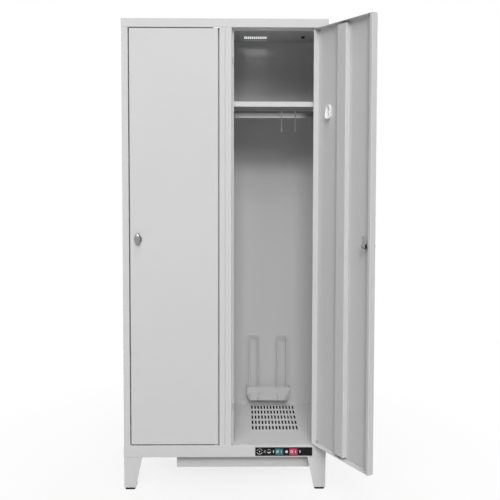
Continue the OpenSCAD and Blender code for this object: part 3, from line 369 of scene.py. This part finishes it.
# ---- latches ---------------------------------------------------------------------------
# A turned spindle runs through the barrel to the cam. Its knob is a chromed die-cast egg,
# fuller above the spindle than below, on a short neck.
KNOB_X, KNOB_Z = -312.0, 814.0
nickel = finish("satin_nickel", (0.29, 0.29, 0.295), 0.2, metal=1.0, shade=0.04, patch=150, grain=2200,
                depth=0.00002, play=0.04)
for side in ("left", "right"):
    barrel = frame["nodes"][f"latch_barrel_{side}"]
    barrel.data.materials.clear()
    barrel.data.materials.append(nickel)
# distance in front of the door, half width, reach up, reach down
EGG = [(3.3, 8.0, 8.0, 8.0), (5.5, 7.6, 7.8, 7.8), (7.0, 9.0, 13.0, 11.0), (8.5, 11.0, 20.5, 15.5),
       (10.5, 12.2, 24.2, 17.8), (13.0, 12.6, 25.2, 18.6), (15.5, 12.0, 24.2, 17.8),
       (17.8, 10.3, 21.2, 15.4), (19.5, 7.6, 16.0, 11.2), (20.6, 4.0, 8.6, 6.0), (21.0, 0.2, 0.4, 0.3)]


def egg(rings, at, sides=40):
    """Closed rings one in front of the other: point = at + (half * cos a, -out, reach *
    sin a), where reach is the ring's upper or lower one by the sign of sin a."""
    out, half, up, down = (np.array(rings, float).T)[:, :, None]
    a = np.arange(sides) * 2 * np.pi / sides
    rise = np.where(np.sin(a) > 0, up, down) * np.sin(a)
    return skin(np.stack([half * np.cos(a), -out + 0 * a, rise], -1) + np.array(at, float))


# radius, distance in front of the door
SPINDLE = [(5.0, 3.3), (5.0, -29.0), (3.0, -29.1), (3.0, -32.0), (2.6, -36.5), (0.05, -36.5)]
NUT = [(3.0, -32.0), (5.2, -32.0), (5.5, -32.4), (5.5, -35.4), (5.1, -35.8), (3.0, -35.8)]
for side in ("left", "right"):
    at = (KNOB_X, 0.0, KNOB_Z)
    knob = piece(f"knob_{side}", f"{side}_latch",
                 [egg(EGG, at), lathe(SPINDLE, at, (0, -1, 0)), lathe(NUT, at, (0, -1, 0), 6)],
                 nickel, hung(side))
    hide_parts(f"latch_knob_{side}")

# ---- coat hooks ------------------------------------------------------------------------
# White moulded dish with a rounded rim, which grows into a lip round its lower end. Two
# screws in the recess hold it to the door's skin.
HOOK_X, HOOK_Z, HOOK_W, HOOK_H = -71.0, 1305.0, 30.0, 56.0
# inset from the outline, height off the skin, share of the lip
DISH = [(14.9, 0.0, 0), (0.3, 0.0, 0), (0.0, 0.6, 0), (0.0, 5.0, 0.5), (0.2, 7.6, 1), (1.2, 9.0, 1),
        (2.6, 9.5, 1), (4.0, 9.0, 0.95), (4.9, 7.6, 0.8), (5.5, 5.0, 0.3), (6.2, 2.2, 0), (7.4, 1.5, 0),
        (14.9, 1.5, 0)]
LIP, SKIN, RECESS = 4.5, 1.0, 1.5


def dish(rings, at, sides=56):
    """Rings inside an upright stadium outline: point = at + (r cos a, height, r sin a +-
    half the straight), r = half width - inset. The lip's share lifts the lower end."""
    inset, high, share = (np.array(rings, float).T)[:, :, None]
    a = (np.arange(sides) + 0.5) * 2 * np.pi / sides
    r = HOOK_W / 2 - inset
    z = r * np.sin(a) + np.sign(np.sin(a)) * (HOOK_H - HOOK_W) / 2
    low = np.clip((-z - 4.0) / 16.0, 0.0, 1.0)
    lift = LIP * share * low * low * (3 - 2 * low)
    return skin(np.stack([r * np.cos(a) + 0 * z, high + lift, z], -1) + np.array(at, float))


# radius, height off the recess
SCREW = [(3.6, 0.0), (3.6, 0.6), (3.0, 1.5), (1.9, 2.0), (1.5, 2.0), (1.4, 1.1), (0.05, 1.1)]
moulded = finish("white_plastic", (0.8, 0.8, 0.79), 0.3, shade=0.02, patch=60, grain=1500,
                 depth=0.00002, coat=0.3)
dress("white_plastic", moulded)
for side in ("left", "right"):
    at = np.array((HOOK_X, SKIN, HOOK_Z))
    hook = piece(f"coat_hook_dish_{side}", f"{side}_door", [dish(DISH, at)], moulded,
                 hung(side), sharp=50)
    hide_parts(f"coat_hook_{side}")
    piece(f"coat_hook_screws_{side}", f"{side}_door",
          [lathe(SCREW, at + (0, RECESS, z), (0, 1, 0), 18) for z in (-8.0, 11.0)], zinc, hung(side))

# ---- heaters and air ducts -------------------------------------------------------------
# Finned steel elements in black-painted ducts under the slotted floors.
# painted shade: the ducts' black and part of the heaters' near-black keep the floor slots dark
dress("heater_steel", finish("heater_steel", (0.05, 0.047, 0.044), 0.5, metal=0.9, shade=0.2, patch=70,
                             grain=1200))
dress("black_enamel", finish("black_enamel", (0.012, 0.012, 0.012), 0.6, shade=0.1, patch=8,
                             grain=700, sheen=0.1, peel=0.00002))

# ---- heat sensors ----------------------------------------------------------------------
# A flanged button of dark moulded resin under the roof of each compartment, which cuts the
# heater off. Both take the place of the record's one node.
# radius, depth under the roof
BUTTON = [(0.05, 0.0), (10.0, 0.0), (10.3, 0.4), (10.3, 1.4), (9.8, 1.9), (7.6, 2.1), (7.5, 7.4), (6.9, 8.0),
          (0.05, 8.0)]
SENSOR_X, SENSOR_Y, CEILING_Z = {"left": -69.0, "right": 331.0}, 111.0, 1849.0
bakelite = finish("bakelite", (0.035, 0.034, 0.033), 0.45, shade=0.15, patch=90, grain=2400, sheen=0.3)
for side in ("left", "right"):
    sensor = piece(f"heat_sensor_{side}", "cabinet",
                   [lathe(BUTTON, (SENSOR_X[side], SENSOR_Y, CEILING_Z), (0, 0, -1), 32)], bakelite)
    if side == "left":
        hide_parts("overheat_sensors")

# ---- fan box ---------------------------------------------------------------------------
# Folded tray hung from the base with flanged screws. The fans' frames and blades and the
# cable gland are black moulded plastic.
black = finish("black_plastic", (0.012, 0.012, 0.014), 0.5, shade=0.12, patch=80, grain=2600,
               depth=0.00003, sheen=0.08)
dress("black_plastic", black)
# radius, height below the tray's flange
HEX = [(4.0, 0.6), (4.6, 1.0), (4.6, 4.2), (4.1, 4.8), (0.05, 4.8)]
WASHER = [(0.05, 0.0), (6.0, 0.0), (6.0, 0.5), (5.2, 1.0), (0.05, 1.0)]
BOX_ENDS, BOX_ROWS, FLANGE_Z = (-201.0, 344.0), (-185.0, -20.0, 145.0), 130.0
heads = []
for at in [(x, y, FLANGE_Z) for x in BOX_ENDS for y in BOX_ROWS]:
    heads += [lathe(WASHER, at, (0, 0, -1)), lathe(HEX, at, (0, 0, -1), 6)]
piece("fan_box_screws", "cabinet", heads, zinc)

# ---- control strip ---------------------------------------------------------------------
# Black moulded strip with two rockers and a lamp. Generic white symbols are printed on it:
# a dial, an arrow, a boot over warm air and a half-moon beside each switch.
STRIP_X, STRIP_Z, STRIP_FRONT = 120.0, 154.0, -252.5
PRINT_T = 0.06


def line(points, width, closed=False):
    """Flat line through points (x, z): each point moved half the width to both sides, along
    the normal of the line through its neighbours."""
    p = np.array(points, float)
    ahead_p = np.roll(p, -1, 0) if closed else np.concatenate([p[1:], p[-1:]])
    behind = np.roll(p, 1, 0) if closed else np.concatenate([p[:1], p[:-1]])
    d = ahead_p - behind
    d /= np.linalg.norm(d, axis=1)[:, None]
    side = np.stack([-d[:, 1], d[:, 0]], -1) * width / 2
    rows = np.stack([p + side, p - side], 1)
    if closed:
        rows = np.concatenate([rows, rows[:1]])
    flat = np.stack([rows[..., 0], 0 * rows[..., 0], rows[..., 1]], -1)
    return skin(flat, round_=False, ends=False)


def arc(x, z, r, start, end, steps=28):
    """Points on a circle of radius r about (x, z), from a start to an end angle in degrees."""
    a = np.radians(np.linspace(start, end, steps))
    return np.stack([x + r * np.cos(a), z + r * np.sin(a)], -1)


def patch(points):
    """Filled outline through points (x, z)."""
    p = np.array(points, float)
    return np.stack([p[:, 0], 0 * p[:, 0], p[:, 1]], -1), [list(range(len(p)))]


def printed(name, body, marks, look, place):
    """Printed marks: flat shapes given a hair's thickness, so that they are closed."""
    made = piece(name, body, marks, look, place)
    ink = made.modifiers.new("ink", "SOLIDIFY")
    ink.thickness = PRINT_T * 0.001
    ink.offset = 0.0
    return made


ink = finish("white_print", (0.82, 0.82, 0.82), 0.5, shade=0.05, patch=300, grain=3000, depth=0.00001)
# places along the strip
DIAL, ARROW, BOOT, MOONS = 17.0, 34.0, 54.5, (77.5, 172.0)
marks = [line(arc(DIAL, 1, 11.0, 200, 340), 1.5), patch(arc(DIAL, 0.5, 2.2, 0, 360)[:-1])]
marks += [line([(DIAL + 8.6 * math.cos(a), 1 + 8.6 * math.sin(a)),
                (DIAL + 11.6 * math.cos(a), 1 + 11.6 * math.sin(a))], 1.3)
          for a in np.radians(np.arange(20, 161, 28))]
marks += [line([(ARROW + 7.5, 5), (ARROW, 0), (ARROW + 7.5, -5)], 1.8)]
marks += [line(arc(BOOT, 1.5, 7.0, 195, 345), 2.2), patch(arc(BOOT, -4.5, 3.4, 0, 360)[:-1])]
marks += [line([(BOOT + x, 5.5), (BOOT + x + 1.2, 7.5), (BOOT + x, 9.5)], 1.1) for x in (-4, 0, 4)]
marks += [patch(arc(MOONS[0], 0, 7.5, 120, 240)), patch(arc(MOONS[1], 0, 7.5, -60, 60))]
printed("strip_print", "cabinet", marks, ink,
        Matrix.Translation(Vector((STRIP_X, STRIP_FRONT - PRINT_T / 2, STRIP_Z)) * 0.001))

# ---- rocker switches and lamp ----------------------------------------------------------
# Glossy coloured paddles, each with a shallow V face, on upright pins. They carry the usual
# bar and ring for on and off, and warm-air and heat signs. The lamp has a clear lens.
dress("green_plastic", finish("green_plastic", (0.0, 0.13, 0.14), 0.28, shade=0.1, patch=120,
                              grain=1500, coat=0.4))
dress("red_plastic", finish("red_plastic", (0.47, 0.03, 0.09), 0.28, shade=0.1, patch=120,
                            grain=1500, coat=0.4))
dress("lamp_lens", finish("lamp_lens", (0.85, 0.85, 0.85), 0.12, shade=0.03, patch=120, grain=900,
                          clear=0.3))
PADDLE_HALF, PADDLE_DEEP, PADDLE_FACE, PADDLE_TIP = 15.5, 1.6, -9.0, -6.0
PADDLE_PIN_Y = -245.7


def on_paddle(shape):
    """Sinks a flat shape onto the paddle: y = face + deep * (1 - |x| / half)."""
    p, f = shape
    p = np.array(p, float)
    p[:, 1] = PADDLE_FACE + PADDLE_DEEP * (1 - np.abs(p[:, 0]) / PADDLE_HALF) - PRINT_T / 2
    return p, f


WAVE = np.linspace(-1, 1, 9)
signs = {
    "green": [line(np.stack([x + 0.7 * np.sin(3 * WAVE), 5.0 * WAVE], -1), 1.5) for x in (-10, -7, -4)],
    "red": [line(arc(-7, 0, 4.2, 0, 345), 1.5, closed=True)],
}
for colour, x in (("green", 216.0), ("red", 272.0)):
    place = Matrix.Translation(Vector((x, PADDLE_PIN_Y, STRIP_Z)) * 0.001) @ Matrix.Rotation(
        math.radians(PADDLE_TIP), 4, "Z")
    bar = [line([(8.0, -4.5), (8.0, 4.5)], 1.7)]
    printed(f"{colour}_signs", f"{colour}_switch",
            [on_paddle(s) for s in signs[colour] + bar], ink, place)

# ---- glides ----------------------------------------------------------------------------
# Black plastic foot under each leg: a rounded square with a groove round it, on a threaded
# stem that a nut locks above the leg's foot plate.
# height off the ground, half width
FOOT = [(0.0, 18.8), (0.3, 19.6), (1.0, 20.0), (3.6, 20.0), (4.0, 19.6), (4.8, 19.6), (5.2, 20.0),
        (8.6, 20.0), (9.0, 19.8)]
# radius, height off the ground
STEM = [(0.05, 9.0), (4.0, 9.0), (4.0, 22.0), (3.2, 23.0), (0.05, 23.0)]
LOCK_NUT = [(3.9, 11.0), (6.6, 11.0), (7.2, 11.6), (7.2, 16.4), (6.6, 17.0), (3.9, 17.0)]


def squared(rings, at, sides=48, power=8.0):
    """Rounded squares one above the other: point = at + half * (cos a, sin a) / (|cos a|^p
    + |sin a|^p)^(1/p), at each ring's height."""
    high, half = (np.array(rings, float).T)[:, :, None]
    a = (np.arange(sides) + 0.5) * 2 * np.pi / sides
    c, t = np.cos(a), np.sin(a)
    reach = half / (np.abs(c) ** power + np.abs(t) ** power) ** (1 / power)
    return skin(np.stack([reach * c, reach * t, high + 0 * c], -1) + np.array(at, float))


LEG_X, LEG_Y = 376, 226
parts = []
for foot in [(x, y, 0) for x in (-LEG_X, LEG_X) for y in (-LEG_Y, LEG_Y)]:
    parts += [squared(FOOT, foot), lathe(STEM, foot, (0, 0, 1)), lathe(LOCK_NUT, foot, (0, 0, 1), 6)]
glides = piece("moulded_glides", "cabinet", parts, black)
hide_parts("glides")
